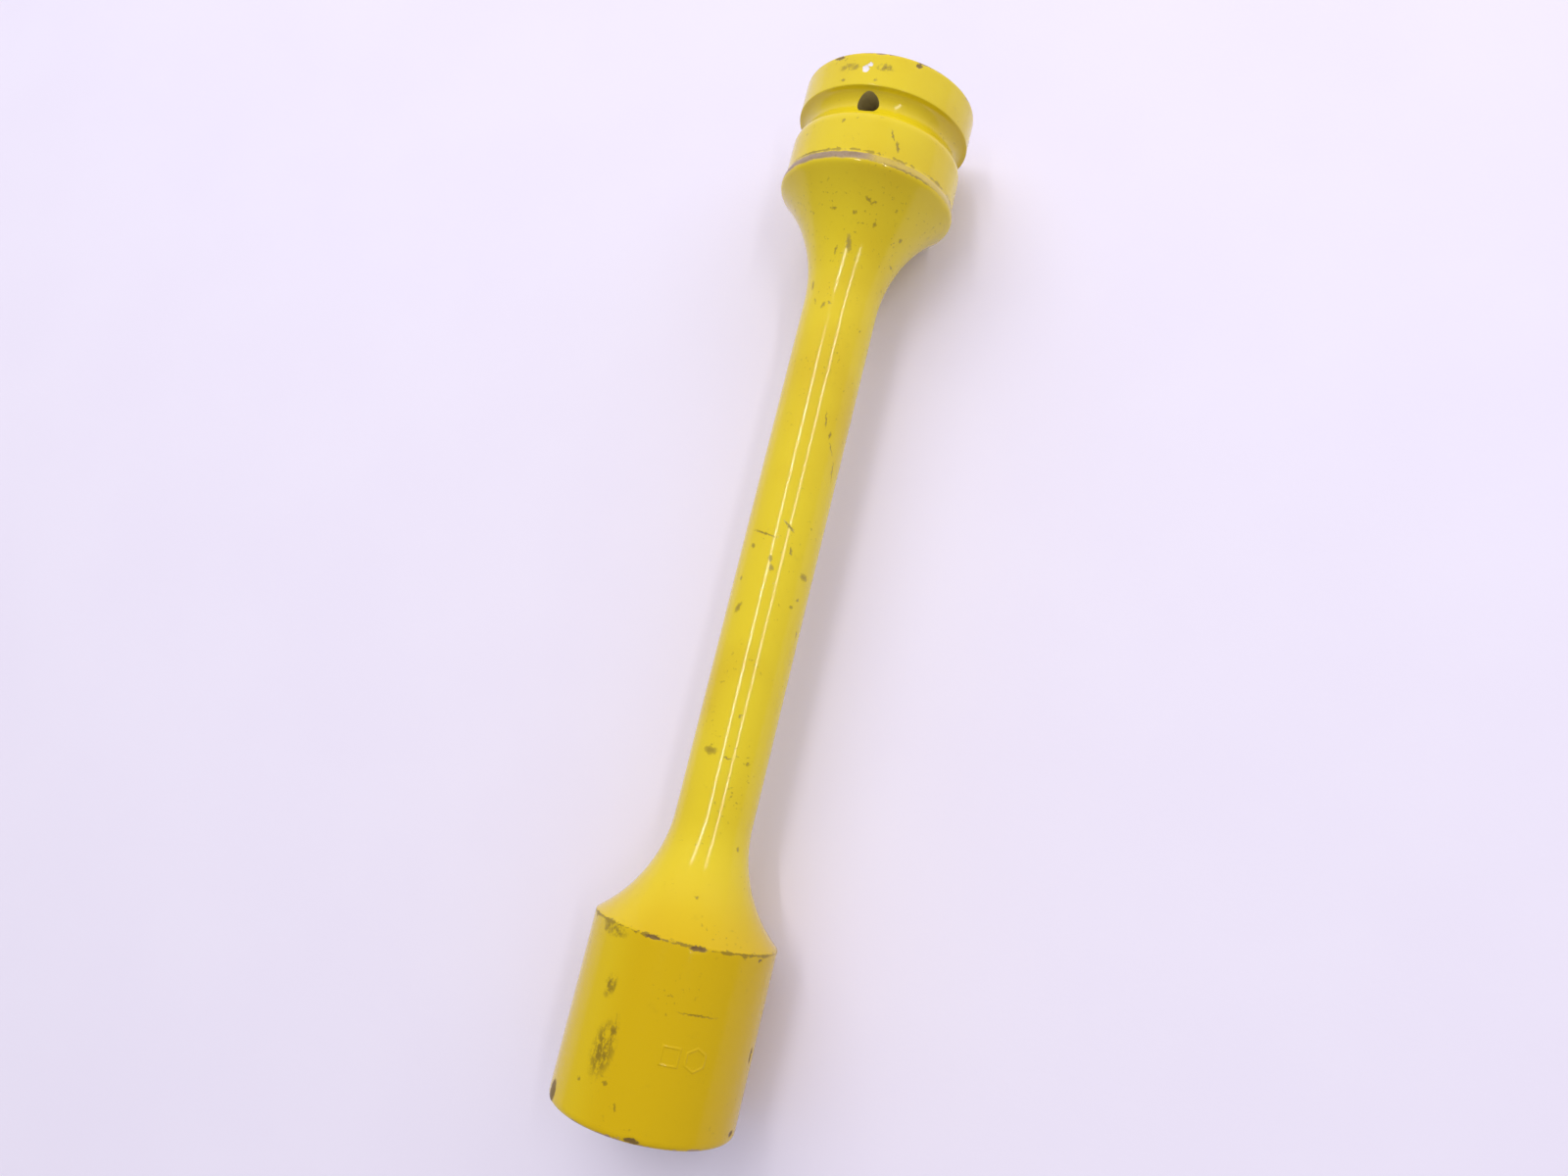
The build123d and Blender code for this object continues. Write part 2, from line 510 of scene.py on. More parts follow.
dirt_specks = [
    Mark(9.2, 3.0, 0.7, 0.7),
    Mark(9.0, -19.0, 0.6, 0.8),
    Mark(22.5, -11.5, 0.7, 0.6),
    Mark(43.0, 17.0, 0.6, 1.4, -20),
    Mark(43.4, 22.5, 0.4, 1.3, 20),
    Mark(46.6, 7.2, 0.7, 0.8),
    Mark(46.0, -13.0, 0.6, 0.9),
    Mark(48.4, 29.5, 1.0, 0.6),
    Mark(54.9, 7.0, 3.2, 1.1, 10),
    Mark(56.9, -8.4, 1.8, 0.5, -10),
    Mark(48.6, 65.0, 0.6, 0.8),
    Mark(55.8, 76.0, 0.4, 1.1),
    Mark(66.8, -42.0, 2.0, 0.6, 10),
    Mark(73.9, -12.0, 1.5, 0.7, -25),
    Mark(73.0, -3.0, 0.4, 1.0, -15),
    Mark(72.5, -28.0, 1.5, 0.35, 30),
    Mark(149.9, -29.0, 0.8, 1.0),
    Mark(152.8, 4.5, 1.6, 0.7, 15),
    Mark(155.4, 9.0, 1.3, 1.0, 25),
    Mark(155.5, 64.0, 1.3, 2.2, -20),
    Mark(159.8, -37.5, 0.9, 0.7),
    Mark(168.5, -28.0, 2.6, 1.0, -30),
    Mark(162.4, 63.0, 0.7, 0.7),
    Mark(165.0, 53.0, 0.9, 0.8),
    Mark(172.0, 80.0, 1.2, 0.5),
    Mark(198.9, 16.5, 0.7, 0.7),
    Mark(210.0, -14.0, 1.4, 2.8),
    Mark(211.4, 45.0, 0.7, 0.8),
    Mark(220.2, 99.0, 1.0, 0.8),
    Mark(235.0, 62.0, 0.8, 0.8),
    Mark(249.0, 18.0, 0.4, 0.9),
    Mark(120.0, 165.0, 3.0, 1.2, 15),
    Mark(185.0, -140.0, 4.0, 0.7, -8),
    Mark(90.0, -110.0, 1.6, 1.1),
    Mark(298.6, -8.6, 0.8, 1.0),
    Mark(300.3, -27.0, 0.7, 0.7),
    Mark(303.3, 1.0, 1.6, 0.5, 10),
]
scuffs = [                                       # places rubbed against iron: brown and rough
    Mark(4.9, -16.5, 1.6, 4.2, 0),
    Mark(4.9, 7.5, 1.5, 3.4, 0),
    Mark(286.5, -11.0, 6.0, 1.5, 0),
    Mark(291.0, -15.5, 9.0, 4.4, -6),
    Mark(275.5, -21.0, 4.0, 2.4, -15),
    Mark(262.0, -30.0, 2.0, 6.5, 0),
    Mark(271.0, 130.0, 6.0, 3.0, 20),
    Mark(290.0, -150.0, 5.0, 4.0, -20),
    Mark(24.0, -100.0, 2.2, 5.0, 10),
    Mark(22.0, 150.0, 3.0, 3.0, 0),
]
print("marks:", len(fresh_chips) + len(old_chips), "chips,", len(dark_scratches), "scratches,",
      len(dirt_specks), "specks,", len(scuffs), "scuffs")

# %% [markdown]
# ## Denting the skin
#
# A deep knock changes the metal, so it belongs in the mesh, where its edge and its shadow are
# real from every side. Each outside point is moved towards the axis by the knocks near it. A very
# shallow waviness goes in as well, because a forging is ground by hand and its paint lies a
# little thicker here and there. That is what breaks a long reflection into pieces.

# %% Find the outside points
EDGE_ROOM = 0.001 * MM       # leaves the two flat end faces out of the wall's outline
SKIN_DEPTH = 0.3 * MM        # points this near to the outline belong to the outside

points = np.empty(len(socket_skin.data.vertices) * 3)
socket_skin.data.vertices.foreach_get("co", points)
points = points.reshape(-1, 3)
station = -points[:, 1]
radius = np.hypot(points[:, 0], points[:, 2])
around = np.arctan2(points[:, 0], points[:, 2])

outline_station = np.array([p.x for p in outline])
outline_radius = np.array([p.y for p in outline])
wall = (outline_station > EDGE_ROOM) & (outline_station < overall_length - EDGE_ROOM)


def local_radius(station):
    """The tool's outside radius at a station, or at each of many stations."""
    return np.interp(station, outline_station[wall], outline_radius[wall])


wall_radius = local_radius(station)
outside = radius > wall_radius - SKIN_DEPTH
print("outside points:", int(outside.sum()), "of", len(points))

# %% Press the knocks in
WAVES = ((9.0, 0.022), (2.6, 0.006))            # wavelength and height, millimetres


def falloff(mark, station, around, radius_there):
    """1 at the middle of a mark, fading to 0 at its edge."""
    turn = radians(mark.turn)
    swing = (around - radians(mark.angle) + pi) % (2 * pi) - pi
    along = (station / MM - mark.station)
    sideways = swing * radius_there / MM
    first = (along * cos(turn) + sideways * sin(turn)) / mark.along
    second = (sideways * cos(turn) - along * sin(turn)) / mark.around
    return np.clip(1 - first ** 2 - second ** 2, 0, 1) ** 1.5


sink = np.zeros(len(points))
for mark in fresh_chips + old_chips + dark_scratches:
    sink += mark.depth * MM * falloff(mark, station, around, wall_radius)
for length, height in WAVES:
    for i in np.flatnonzero(outside):
        sink[i] += height * MM * (0.5 + 0.5 * noise.noise(Vector(points[i]) / (length * MM)))
scale = np.where(outside, 1 - sink / np.maximum(radius, MM), 1.0)
points[:, 0] *= scale
points[:, 2] *= scale
socket_skin.data.vertices.foreach_set("co", points.ravel())
socket_skin.data.update()
print("deepest knock", round(float(sink[outside].max() / MM), 2), "mm")

# %% [markdown]
# ## Smooth shading with crisp edges
#
# The faces are small but flat. Smooth shading hides them, and edges that turn by more than a
# set angle stay sharp, such as the rim of the drilled hole and the floors of the cavities.

# %% Shade
CRISP_ANGLE = radians(38.0)
socket_skin.data.polygons.foreach_set("use_smooth", [True] * len(socket_skin.data.polygons))
socket_skin.data.set_sharp_from_angle(angle=CRISP_ANGLE)

# %% [markdown]
# ## A raised sign on the nut head
#
# Such tools carry forged marks under the paint. This one gets a plain sign that means "square
# drive, hexagon nut": the outlines of a square and of a hexagon. Each is a narrow flat frame,
# bent round the head, with sloping sides that sink into the surface.

# %% Build the sign
SIGN_HEIGHT = 0.16 * MM
SIGN_SINK = 0.10 * MM
SIGN_STEPS = 8                                   # pieces along each side, so that it bends smoothly


def frame_outline(sides, across_flats, turn):
    """Corner points of a regular polygon, with extra points along its sides."""
    reach = across_flats / 2 / cos(pi / sides)
    corners = [Matrix.Rotation(turn + 2 * pi * k / sides, 2) @ Vector((reach, 0)) for k in range(sides)]
    path = []
    for first, second in zip(corners, corners[1:] + corners[:1]):
        path += [first.lerp(second, i / SIGN_STEPS) for i in range(SIGN_STEPS)]
    return path


def raised_frame(name, sides, across_flats, line, centre_station, centre_angle, turn):
    """A polygon's outline, raised above the nut head and wrapped round it."""
    loops = []
    for size, height in (
        (across_flats + line, -SIGN_SINK),
        (across_flats + 0.3 * line, SIGN_HEIGHT),
        (across_flats - 0.3 * line, SIGN_HEIGHT),
        (across_flats - line, -SIGN_SINK),
    ):
        loop = []
        for point in frame_outline(sides, size, turn):
            angle = centre_angle + point.y / nut_head_radius
            out = nut_head_radius + height
            loop.append((out * sin(angle), -centre_station - point.x, out * cos(angle)))
        loops.append(loop)
    count = len(loops[0])
    faces = []
    for level in range(len(loops)):
        here, there = level * count, (level + 1) % len(loops) * count
        for k in range(count):
            beside = (k + 1) % count
            faces.append((here + k, there + k, there + beside, here + beside))
    mesh = bpy.data.meshes.new(name)
    mesh.from_pydata([p for loop in loops for p in loop], [], faces)
    mesh.polygons.foreach_set("use_smooth", [True] * len(faces))
    mesh.set_sharp_from_angle(angle=CRISP_ANGLE)
    piece = bpy.data.objects.new(name, mesh)
    bpy.context.collection.objects.link(piece)
    return piece


sign_station = 288.0 * MM
sign_pieces = [
    raised_frame("raised_square_sign", 4, 4.6 * MM, 1.0 * MM, sign_station, radians(24.0), radians(45.0)),
    raised_frame("raised_hexagon_sign", 6, 5.2 * MM, 1.0 * MM, sign_station, radians(39.0), 0.0),
]
print("sign pieces:", [piece.name for piece in sign_pieces])

# %% [markdown]
# ## A short way to write materials
#
# A material is a tree of nodes. The helper below adds a node, sets its values and joins its
# inputs in one call, so that a recipe reads from top to bottom. Everything is measured in
# millimetres, which makes the size of a speck or a wave easy to judge.

# %% Material helper


class Recipe:
    """One material's node tree, with a short call for each kind of step."""

    def __init__(self, finish):
        finish.use_nodes = True
        self.tree = finish.node_tree
        self.tree.nodes.clear()
        place = self.add("ShaderNodeTexCoord").outputs["Object"]
        self.place = self.vector("SCALE", place, Scale=1 / MM)
        parts = self.add("ShaderNodeSeparateXYZ", {0: self.place}).outputs
        self.station = self.math("MULTIPLY", parts["Y"], -1.0)
        self.angle = self.math("ARCTAN2", parts["X"], parts["Z"])

    def add(self, kind, inputs=None, **settings):
        """A node with its settings and inputs; an input may be a value or another node's output."""
        made = self.tree.nodes.new(kind)
        for name, value in settings.items():
            setattr(made, name, value)
        for key, value in (inputs or {}).items():
            if isinstance(value, bpy.types.NodeSocket):
                self.tree.links.new(value, made.inputs[key])
            else:
                made.inputs[key].default_value = value
        return made

    def math(self, operation, *values):
        return self.add("ShaderNodeMath", dict(enumerate(values)), operation=operation).outputs[0]

    def vector(self, operation, *values, **named):
        inputs = dict(enumerate(values)) | named
        made = self.add("ShaderNodeVectorMath", inputs, operation=operation)
        return made.outputs["Value"] if operation in ("LENGTH", "DOT_PRODUCT") else made.outputs[0]

    def noise(self, size, detail=2.0, rough=0.5, stretch=(1, 1, 1)):
        """Cloudy noise from 0 to 1 whose patches are about this many millimetres across."""
        place = self.vector("MULTIPLY", self.place, [1 / (size * s) for s in stretch])
        inputs = {"Vector": place, "Scale": 1.0, "Detail": detail, "Roughness": rough}
        return self.add("ShaderNodeTexNoise", inputs).outputs[0]

    def fade(self, value, start, end):
        """0 where value is at start, 1 where it is at end, smooth between."""
        inputs = {"Value": value, "From Min": start, "From Max": end}
        return self.add("ShaderNodeMapRange", inputs, interpolation_type="SMOOTHSTEP").outputs[0]

    def mix(self, share, first, second):
        """The first colour, giving way to the second as share goes to 1."""
        inputs = {0: share, 6: first, 7: second}
        return self.add("ShaderNodeMix", inputs, data_type="RGBA").outputs[2]

    def spread(self, *masks):
        """The strongest of several masks."""
        strongest = masks[0]
        for mask in masks[1:]:
            strongest = self.math("MAXIMUM", strongest, mask)
        return strongest

    def near(self, station, reach, ragged):
        """1 at a station along the tool, fading out beyond reach, with a ragged edge."""
        distance = self.math("ABSOLUTE", self.math("SUBTRACT", self.station, station))
        distance = self.math("ADD", distance, ragged)
        return self.fade(distance, reach, 0.6 * reach)

    def marks(self, marks, spot, edge):
        """One mask for a list of marks. spot holds the station in millimetres and the angle.

        A mark is an ellipse, so its distance is measured along its two axes, one dot product each.
        Each mark is merged into the mask at once, which keeps the recipe light.
        """
        mask = 0.0
        for mark in marks:
            round_it = local_radius(mark.station * MM) / MM
            turn = radians(mark.turn)
            first = (cos(turn) / mark.along, sin(turn) * round_it / mark.along, 0)
            second = (-sin(turn) / mark.around, cos(turn) * round_it / mark.around, 0)
            away = self.vector("SUBTRACT", spot, (mark.station, radians(mark.angle), 0))
            first = self.vector("DOT_PRODUCT", away, first)
            second = self.vector("DOT_PRODUCT", away, second)
            squared = self.math("MULTIPLY_ADD", first, first, self.math("MULTIPLY", second, second))
            mask = self.math("MAXIMUM", self.fade(squared, 1.0, (1 - edge) ** 2), mask)
        return mask


# %% [markdown]
# ## Yellow enamel
#
# The paint is a strong warm yellow, glossy, with the fine dimples that sprayers call orange
# peel. Over it go the layers that use leaves: dirt on the skin, a thin dark line along the shoulder
# and along the foot of the band, brown scuffs, and bare steel on the edges and on the narrow band
# that rubs against the rubber ring. Each layer is a mask, and each mask has a ragged edge from
# noise, because paint never chips in a neat line.

# %% Mix the enamel
YELLOW = (0.735, 0.575, 0.010, 1)
# the deeper yellow below serves both as a random deeper tone of the paint and as painted shade on the nut
# end
DEEP_YELLOW_AND_SHADE = (0.610, 0.412, 0.001, 1)
DIRT = (0.155, 0.098, 0.008, 1)
OLD_CHIP = (0.120, 0.070, 0.040, 1)
RUBBED_STEEL = (0.400, 0.300, 0.260, 1)
# near-white bare steel for the fresh chips: the bare metal is real, and its near-white tone is partly a
# painted glint
FRESH_STEEL_AND_GLINT = (0.900, 0.860, 0.860, 1)

enamel = Recipe(socket_skin.data.materials[ENAMEL_SLOT])


def ragged_spot(recipe, push):
    """Station and angle as one vector, pushed about by noise so that marks get uneven edges."""
    inputs = {"Vector": recipe.place, "Scale": 1.1, "Detail": 3.0, "Roughness": 0.6}
    cloud = recipe.add("ShaderNodeTexNoise", inputs).outputs[1]
    shift = recipe.vector("SCALE", recipe.vector("SUBTRACT", cloud, (0.5, 0.5, 0.5)), Scale=push)
    shift = recipe.add("ShaderNodeSeparateXYZ", {0: shift}).outputs
    out = recipe.vector("LENGTH", recipe.vector("MULTIPLY", recipe.place, (1, 0, 1)))
    along = recipe.math("ADD", recipe.station, shift["X"])
    angle = recipe.math("ADD", recipe.angle, recipe.math("DIVIDE", shift["Y"], out))
    return recipe.add("ShaderNodeCombineXYZ", {0: along, 1: angle}).outputs[0]


spot = ragged_spot(enamel, 1.8)
fine_grain = enamel.noise(0.7, 3.0, 0.7)
blotches = enamel.noise(5.0, 4.0, 0.65)
broad_tone = enamel.noise(28.0, 2.0)

# dirt that settles: a film of specks, in patches and thicker beside the ridge; then a thin dark
# line along the shoulder and one along the foot of the band, in the dirt colour
film = enamel.fade(blotches, 0.60, 0.80)
speckle = enamel.fade(enamel.noise(1.3, 2.0, 0.6), 0.62, 0.72)
dirty_places = enamel.spread(
    enamel.fade(enamel.noise(14.0, 2.0), 0.50, 0.64),
    enamel.near(ridge_station / MM + 15.0, 14.0, 0.0),
)
speckle = enamel.math("MULTIPLY", speckle, dirty_places)
edge_noise = enamel.math("MULTIPLY", enamel.math("SUBTRACT", enamel.noise(3.2, 4.0, 0.7), 0.47), 4.5)
shoulder_dark_line = enamel.near(shoulder_station / MM + 0.3, 0.45, edge_noise)
band_foot_dark_line = enamel.near(band_station / MM - 0.2, 0.45, edge_noise)
scratch_mask = enamel.marks(dark_scratches, spot, 0.8)
speck_mask = enamel.marks(dirt_specks, spot, 0.9)
scuff_grain = enamel.fade(enamel.noise(1.5, 4.0, 0.75, (1, 1.8, 1)), 0.38, 0.58)
scuff_mask = enamel.math("MULTIPLY", enamel.marks(scuffs, spot, 0.8), scuff_grain)

# bare steel: the rims of the two mouths and the narrow band under the ridge
rim_noise = enamel.math("MULTIPLY", enamel.math("SUBTRACT", enamel.noise(4.0, 4.0, 0.7), 0.42), 4.5)
drive_rim = enamel.near(0.0, 0.9, rim_noise)
nut_rim = enamel.near(overall_length / MM, 0.8, rim_noise)
band_noise = enamel.math("MULTIPLY", enamel.math("SUBTRACT", enamel.noise(3.0, 4.0, 0.7), 0.5), 1.2)
band_rubbed = enamel.near(ridge_station / MM - 1.5, 1.5, band_noise)
band_side = enamel.fade(enamel.angle, radians(24.0), radians(4.0))
band_bare = enamel.math("MULTIPLY", band_rubbed, enamel.math("MAXIMUM", band_side, 0.35))
old_mask = enamel.marks(old_chips, spot, 0.3)
fresh_mask = enamel.marks(fresh_chips, spot, 0.3)

# Painted shade: the nut flare and the nut head take the deeper yellow, less of it on the -X side, standing
# in for the dimmer light at the nut end. broad_tone adds random deeper patches everywhere.
nut_part = enamel.fade(enamel.station, shoulder_station / MM - 24.0, shoulder_station / MM + 3.0)
nut_shade_side = enamel.fade(enamel.angle, radians(-32.0), radians(-4.0))
nut_shade_side = enamel.math("MULTIPLY_ADD", nut_shade_side, 0.45, 0.55)
nut_painted_shade = enamel.math("MULTIPLY", nut_part, nut_shade_side)
deeper_tone_and_shade = enamel.spread(enamel.math("MULTIPLY", enamel.fade(broad_tone, 0.40, 0.80), 0.5), nut_painted_shade)
tone = enamel.mix(deeper_tone_and_shade, YELLOW, DEEP_YELLOW_AND_SHADE)
tone = enamel.mix(enamel.math("MULTIPLY", film, 0.10), tone, DIRT)
dirt_and_line_mask = enamel.spread(
    enamel.math("MULTIPLY", speckle, 0.42),
    enamel.math("MULTIPLY", shoulder_dark_line, 0.65),
    enamel.math("MULTIPLY", band_foot_dark_line, 0.55),
    enamel.math("MULTIPLY", scratch_mask, 0.70),
    enamel.math("MULTIPLY", speck_mask, 0.62),
    enamel.math("MULTIPLY", scuff_mask, 0.75),
)
tone = enamel.mix(dirt_and_line_mask, tone, DIRT)
rub_mask = enamel.spread(drive_rim, nut_rim, band_bare)
rub_tone = enamel.mix(enamel.fade(enamel.spread(fine_grain, blotches), 0.45, 0.95), RUBBED_STEEL, OLD_CHIP)
tone = enamel.mix(enamel.math("MULTIPLY", rub_mask, 0.85), tone, rub_tone)
tone = enamel.mix(enamel.math("MULTIPLY", old_mask, 0.80), tone, OLD_CHIP)
# the fresh chips take the near-white steel colour, partly a painted glint on real bare metal
tone = enamel.mix(fresh_mask, tone, FRESH_STEEL_AND_GLINT)

metal = enamel.spread(
    enamel.math("MULTIPLY", rub_mask, 0.75),
    enamel.math("MULTIPLY", old_mask, 0.25),
    enamel.math("MULTIPLY", fresh_mask, 0.3),
)
gloss = enamel.math("ADD", 0.085, enamel.math("MULTIPLY", blotches, 0.07))
dulled = enamel.spread(dirt_and_line_mask, rub_mask, old_mask)
gloss = enamel.math("ADD", gloss, enamel.math("MULTIPLY", dulled, 0.34))

shine = enamel.math("MULTIPLY_ADD", nut_part, -0.25, 0.5)   # the paint is duller on the nut head

orange_peel = enamel.math("MULTIPLY", enamel.noise(1.3, 2.0), 0.010)
long_dimples = enamel.math("MULTIPLY", enamel.noise(2.4, 2.0, 0.5, (1, 2.6, 1)), 0.010)
turning = enamel.add("ShaderNodeTexWave", {
    "Vector": enamel.place,
    "Scale": 0.55,
    "Distortion": 1.2,
    "Detail": 3.0,
    "Detail Scale": 0.4,
}, wave_type="BANDS", bands_direction="Y").outputs[1]
turned_part = enamel.spread(
    enamel.fade(enamel.station, shoulder_station / MM, shoulder_station / MM + 3.0),
    enamel.fade(enamel.station, band_station / MM, band_station / MM - 3.0),
)
turning = enamel.math("MULTIPLY", enamel.math("MULTIPLY", turning, turned_part), 0.010)
paint_edge = enamel.math("MULTIPLY", enamel.spread(rub_mask, old_mask, fresh_mask, scratch_mask), -0.07)
pitted = enamel.spread(dirt_and_line_mask, rub_mask, old_mask)
pitting = enamel.math("MULTIPLY", enamel.math("MULTIPLY", fine_grain, pitted), 0.05)
height = orange_peel
for layer in (long_dimples, turning, paint_edge, pitting):
    height = enamel.math("ADD", height, layer)
relief = enamel.add("ShaderNodeBump", {"Height": height, "Distance": MM, "Strength": 1.0}).outputs[0]

paint = enamel.add("ShaderNodeBsdfPrincipled", {
    "Base Color": tone,
    "Metallic": metal,
    "Roughness": gloss,
    "IOR": 1.5,
    "Specular IOR Level": shine,
    "Normal": relief,
})
enamel.add("ShaderNodeOutputMaterial", {"Surface": paint.outputs[0]})
print("enamel recipe has", len(enamel.tree.nodes), "nodes")

# %% [markdown]
# ## Broached steel
#
# Inside the mouths there is no paint, only steel that a broach has scraped along the tool. Oil and
# time have turned it brown-grey. Long noise along the tool makes the scraping lines, and a warm
# noise adds rust. Near the mouths a mist of yellow overspray reaches in.

# %% Mix the steel
DARK_STEEL = (0.150, 0.130, 0.095, 1)
WORN_STEEL = (0.420, 0.380, 0.330, 1)
RUST = (0.160, 0.070, 0.028, 1)
OVERSPRAY = (0.600, 0.520, 0.240, 1)

steel = Recipe(socket_skin.data.materials[STEEL_SLOT])
scraping = steel.noise(0.5, 3.0, 0.6, (1, 40, 1))
rust_patches = steel.fade(steel.noise(4.0, 5.0, 0.7), 0.50, 0.72)
out_there = steel.vector("LENGTH", steel.vector("MULTIPLY", steel.place, (1, 0, 1)))
mist_noise = steel.math("MULTIPLY", steel.math("SUBTRACT", steel.noise(1.2, 3.0, 0.7), 0.5), 5.0)
drive_mist = steel.near(0.0, 4.5, mist_noise)
nut_mist = steel.near(overall_length / MM, 4.5, mist_noise)
# Inside the pin hole the overspray colour is laid on almost fully: partly real overspray, partly painted
# light that lifts the shade in the hole.
near_pin_hole = steel.near(pin_station / MM, 6.0, 0.0)
outside_square = steel.fade(out_there, square_side / 2 / MM, 18.0)
mist_and_hole_light = steel.spread(drive_mist, nut_mist, steel.math("MULTIPLY", near_pin_hole, outside_square))
steel_tone = steel.mix(steel.fade(scraping, 0.40, 0.75), DARK_STEEL, WORN_STEEL)
steel_tone = steel.mix(steel.math("MULTIPLY", rust_patches, 0.6), steel_tone, RUST)
steel_tone = steel.mix(steel.math("MULTIPLY", mist_and_hole_light, 0.92), steel_tone, OVERSPRAY)
steel_gloss = steel.math("ADD", 0.42, steel.math("MULTIPLY", rust_patches, 0.3))
steel_metal = steel.math("SUBTRACT", 0.85, steel.math("MULTIPLY", steel.spread(rust_patches, mist_and_hole_light), 0.6))
scraping_height = steel.math("MULTIPLY", scraping, 0.03)
rust_height = steel.math("MULTIPLY", rust_patches, 0.03)
steel_height = steel.math("ADD", scraping_height, rust_height)
steel_relief = steel.add("ShaderNodeBump", {
    "Height": steel_height,
    "Distance": MM,
    "Strength": 1.0,
}).outputs[0]
bare = steel.add("ShaderNodeBsdfPrincipled", {
    "Base Color": steel_tone,
    "Metallic": steel_metal,
    "Roughness": steel_gloss,
    "Normal": steel_relief,
})
steel.add("ShaderNodeOutputMaterial", {"Surface": bare.outputs[0]})
print("steel recipe has", len(steel.tree.nodes), "nodes")

# %% [markdown]
# ## Putting the pieces on the frame
#
# The skin stands for the CAD body, which stays hidden behind it for collision. The sign rides
# with it and takes the same enamel.

# %% Ride, replace and finish
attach(socket_skin, "root")
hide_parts("socket_body")
for piece in sign_pieces:
    piece.data.materials.append(socket_skin.data.materials[ENAMEL_SLOT])
    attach(piece, "root")

# %% [markdown]
# ## Floor
#
# The tool lies on a sheet of plain paper. It rests on the ridge and on the nut head, which is a
# little slimmer, so the sheet is tipped by a fraction of a degree to touch both.

# %% Lay the paper
PAPER = (0.82, 0.785, 0.885, 1)
PAPER_SHADE = (0.81, 0.773, 0.878, 1)
FLOOR_SIZE = 6.0

rest_high = max(p.y for p in outline)
nut_rim_width = 2.0 * MM                         # the rounded rim doesn't touch the paper
rest_run = overall_length - nut_rim_width - ridge_station
tip_angle = atan((rest_high - nut_head_radius) / rest_run)
floor_mesh = bpy.data.meshes.new("paper_floor")
half = FLOOR_SIZE / 2
floor_corners = [(-half, -half, 0), (half, -half, 0), (half, half, 0), (-half, half, 0)]
floor_mesh.from_pydata(floor_corners, [], [(0, 1, 2, 3)])
floor = bpy.data.objects.new("paper_floor", floor_mesh)
bpy.context.collection.objects.link(floor)
floor.location = (0.0, -ridge_station, -rest_high)
floor.rotation_euler = (-tip_angle, 0.0, 0.0)
paper_finish = bpy.data.materials.new("pale_paper")
floor_mesh.materials.append(paper_finish)
paper = Recipe(paper_finish)
paper_tone = paper.mix(paper.fade(paper.noise(60.0, 3.0), 0.3, 0.7), PAPER, PAPER_SHADE)
paper_grain = paper.noise(1.5, 4.0, 0.6)
paper_relief = paper.add("ShaderNodeBump", {"Height": paper_grain, "Distance": 0.02 * MM}).outputs[0]
sheet = paper.add("ShaderNodeBsdfPrincipled", {
    "Base Color": paper_tone,
    "Roughness": 0.75,
    "Specular IOR Level": 0.2,
    "Normal": paper_relief,
})
paper.add("ShaderNodeOutputMaterial", {"Surface": sheet.outputs[0]})
print("floor tipped by", round(degrees(tip_angle), 2), "degrees")

# %% [markdown]
# ## Camera
#
# The camera looks down on the middle of the tool from a third of a metre, with a wide lens. The
# near nut end therefore looks larger than it would from far away. The picture's upright runs
# roughly along the tool, leaning a little.

# %% Place the camera
CAMERA_LENS = 25.43
camera_place = Vector((0.0913, -0.2078, 0.3131))
camera_target = Vector((0.0038, -0.1588, 0.0))
picture_up = Vector((-0.1906, 0.9603, 0.2036))

camera_data = bpy.data.cameras.new("camera")
camera = bpy.data.objects.new("camera", camera_data)
bpy.context.collection.objects.link(camera)
backward = (camera_place - camera_target).normalized()
rightward = picture_up.cross(backward).normalized()
upward = backward.cross(rightward)
turned = Matrix((rightward, upward, backward)).transposed()
camera.matrix_world = Matrix.Translation(camera_place) @ turned.to_4x4()
camera_data.lens = CAMERA_LENS
camera_data.sensor_width = 36.0
camera_data.clip_start = 0.01
bpy.context.scene.camera = camera
print("camera", round((camera_place - camera_target).length, 3), "m from the tool")

# %% [markdown]
# ## Light
#
# Two long tubes hang above the tool, and each leaves one thin line of light along the shank. A
# soft lamp at the upper left lights the paper more at the drive end than at the nut end. A weaker
# one low on the right fills the shadow side. Both are hidden from reflections, because glossy
# paint would show their square shapes. A pale surround, brighter beyond the drive end, does the
# rest.

# %% Hang the lights


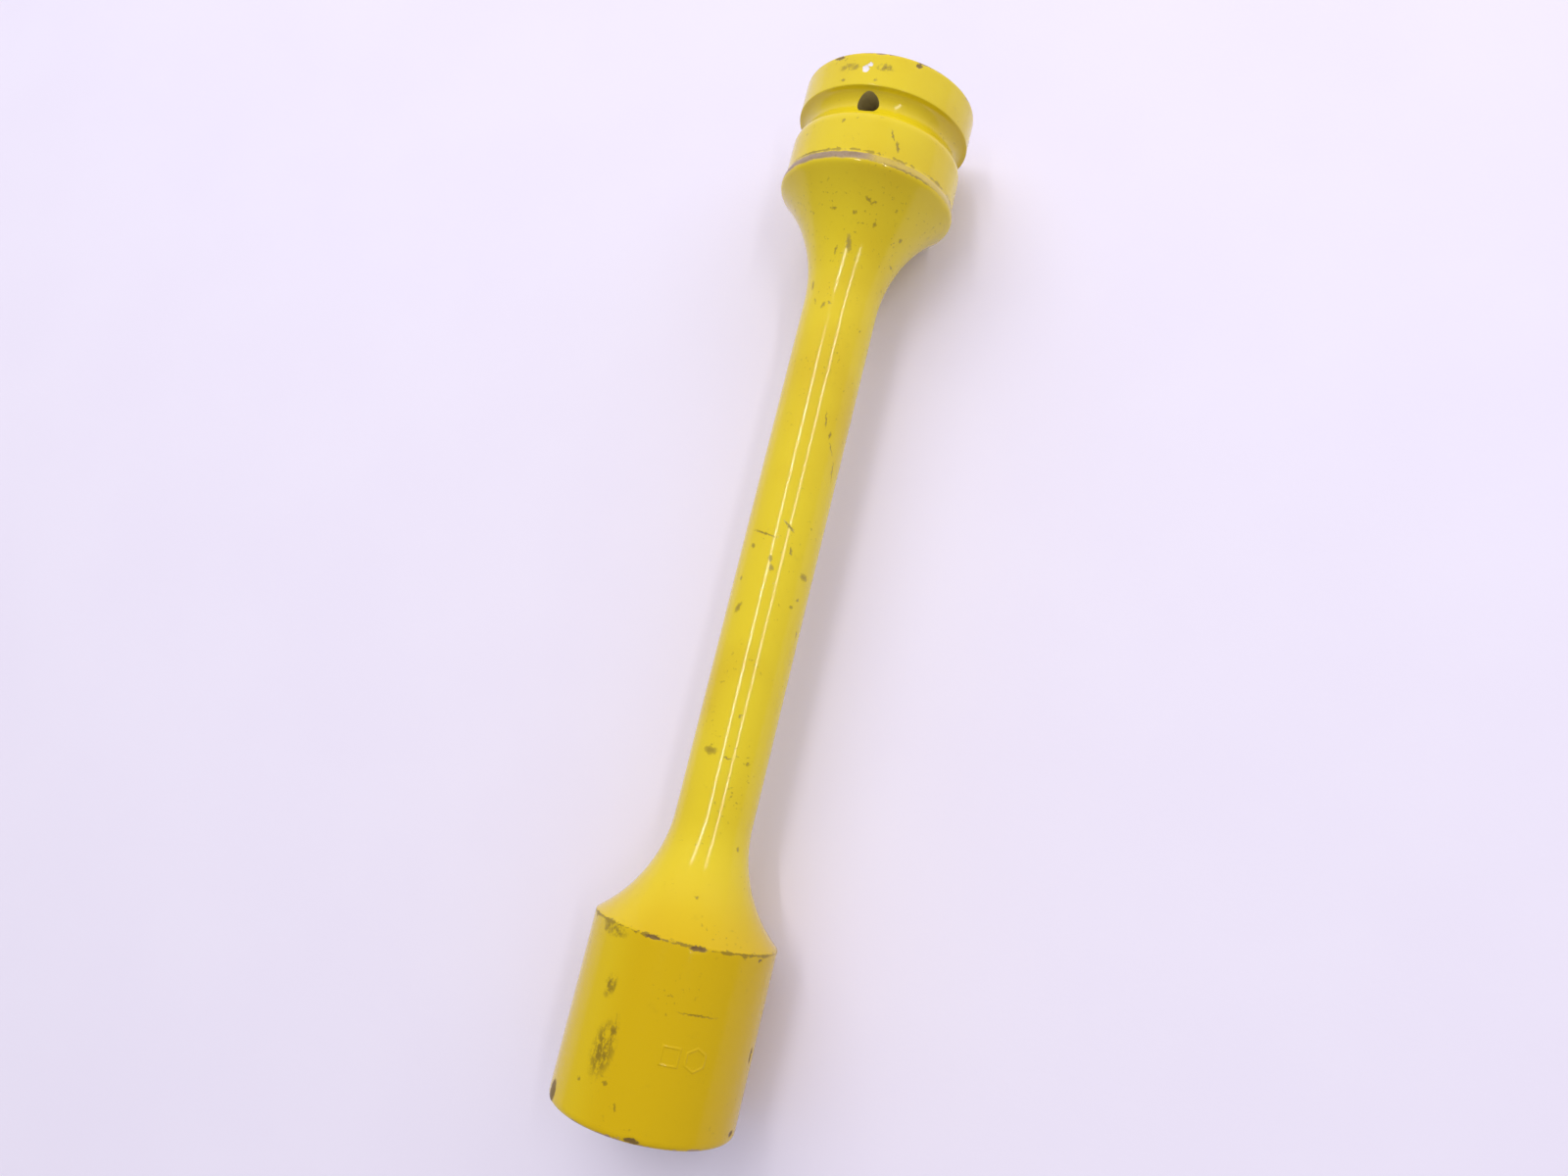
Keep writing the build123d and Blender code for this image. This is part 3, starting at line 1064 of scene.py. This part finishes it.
def lamp(name, centre, aim, size, power, tint):
    """A flat rectangular lamp at centre that shines towards aim."""
    data = bpy.data.lights.new(name, "AREA")
    data.shape = "RECTANGLE"
    data.size, data.size_y = size
    data.energy = power
    data.color = tint
    made = bpy.data.objects.new(name, data)
    bpy.context.collection.objects.link(made)
    backward = (centre - aim).normalized()
    rightward = Vector((0, 1, 0)).cross(backward).normalized()
    turned = Matrix((rightward, backward.cross(rightward), backward)).transposed()
    made.matrix_world = Matrix.Translation(centre) @ turned.to_4x4()
    return made


def tube(name, start, end, width, power):
    """A long thin lamp from start to end that shines down."""
    centre = (start + end) / 2
    run = end - start
    made = lamp(name, centre, centre - Vector((0, 0, 1)), (width, run.length), power, (1.0, 0.97, 1.0))
    turn = Matrix.Rotation(atan2(-run.x, run.y), 4, "Z")
    made.matrix_world = Matrix.Translation(centre) @ turn
    return made


TUBE_WIDTH = 0.010           # metres, as are all the places of the lamps
TUBE_HEIGHT = 1.2
tubes = [
    ("right_tube", (0.665, -0.35), (0.53, 0.52), 2.4),
    ("left_tube", (-0.08, -0.33), (-0.31, 0.40), 2.2),
]
for name, start, end, power in tubes:
    tube(name, Vector((*start, TUBE_HEIGHT)), Vector((*end, TUBE_HEIGHT)), TUBE_WIDTH, power)

lit_spot = Vector((0, -0.05, 0))
soft_place = Vector((-0.42, 0.62, 1.1))
soft_lamp = lamp("soft_lamp", soft_place, lit_spot, (1.2, 1.2), 7.6, (0.98, 0.98, 1.0))
side_place = Vector((0.62, 0.58, 0.42))
side_lamp = lamp("side_lamp", side_place, lit_spot, (0.8, 0.5), 1.5, (0.88, 0.88, 1.0))
for hidden_in_gloss in (soft_lamp, side_lamp):
    hidden_in_gloss.visible_glossy = False

surround = bpy.data.worlds.new("pale_surround")
surround.use_nodes = True
sky = surround.node_tree
background = sky.nodes["Background"]
background.inputs["Color"].default_value = (0.92, 0.88, 0.98, 1)
looking = sky.nodes.new("ShaderNodeTexCoord")
split = sky.nodes.new("ShaderNodeSeparateXYZ")
brighter = sky.nodes.new("ShaderNodeMapRange")
for socket_name, value in (("From Min", -0.30), ("From Max", 0.75), ("To Min", 0.42), ("To Max", 0.96)):
    brighter.inputs[socket_name].default_value = value
sky.links.new(looking.outputs["Generated"], split.inputs[0])
sky.links.new(split.outputs["Y"], brighter.inputs["Value"])
sky.links.new(brighter.outputs[0], background.inputs["Strength"])
bpy.context.scene.world = surround
bpy.context.scene.view_settings.view_transform = "Standard"
